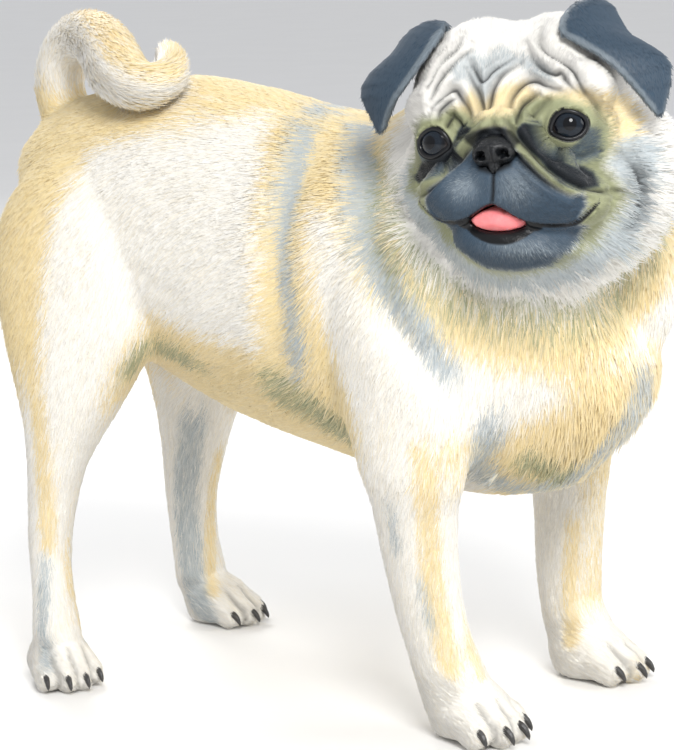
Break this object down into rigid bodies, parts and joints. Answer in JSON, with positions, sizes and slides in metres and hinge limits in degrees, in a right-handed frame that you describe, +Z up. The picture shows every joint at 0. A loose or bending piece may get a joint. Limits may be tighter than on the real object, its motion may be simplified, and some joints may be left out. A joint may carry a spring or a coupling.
{
  "type": "pug dog, life-size standing model",
  "caption": "Life-size still model of a short-coated, flat-faced small dog, standing on its four feet with its head turned to its right and its tail curled over the right hip",
  "frame": {"origin": "On the floor, under the middle of the whole model's box", "axes": "+Z up; the dog's trunk runs along Y, with the breast towards -Y; its right side is -X"},
  "size_m": [0.2004, 0.38, 0.3472],
  "materials": {
    "coat": "short, dense fawn coat",
    "mask": "velvety black mask and ears",
    "nose_leather": "moist pebbled black skin",
    "eye": "wet dark brown eye",
    "tongue": "moist pink flesh",
    "claw": "blunt dark horn"
  },
  "bodies": {
    "root": {"head": "coat", "torso": "coat", "neck": "coat", "tail_root": "coat", "tail_curl": "coat", "tail_tip": "coat", "fore_right_upper_arm": "coat", "fore_right_forearm": "coat", "fore_right_paw": "coat", "fore_left_upper_arm": "coat", "fore_left_forearm": "coat", "fore_left_paw": "coat", "hind_right_thigh": "coat", "hind_right_shank": "coat", "hind_right_pastern": "coat", "hind_right_paw": "coat", "hind_left_thigh": "coat", "hind_left_shank": "coat", "hind_left_pastern": "coat", "hind_left_paw": "coat", "jaw": "mask", "ear_left": "mask", "ear_right": "mask", "nose": "nose_leather", "eye_left": "eye", "eye_right": "eye", "tongue": "tongue", "fore_right_claw_1": "claw", "fore_right_claw_2": "claw", "fore_right_claw_3": "claw", "fore_right_claw_4": "claw", "fore_left_claw_1": "claw", "fore_left_claw_2": "claw", "fore_left_claw_3": "claw", "fore_left_claw_4": "claw", "hind_right_claw_1": "claw", "hind_right_claw_2": "claw", "hind_right_claw_3": "claw", "hind_right_claw_4": "claw", "hind_left_claw_1": "claw", "hind_left_claw_2": "claw", "hind_left_claw_3": "claw", "hind_left_claw_4": "claw"}
  },
  "joints": []
}
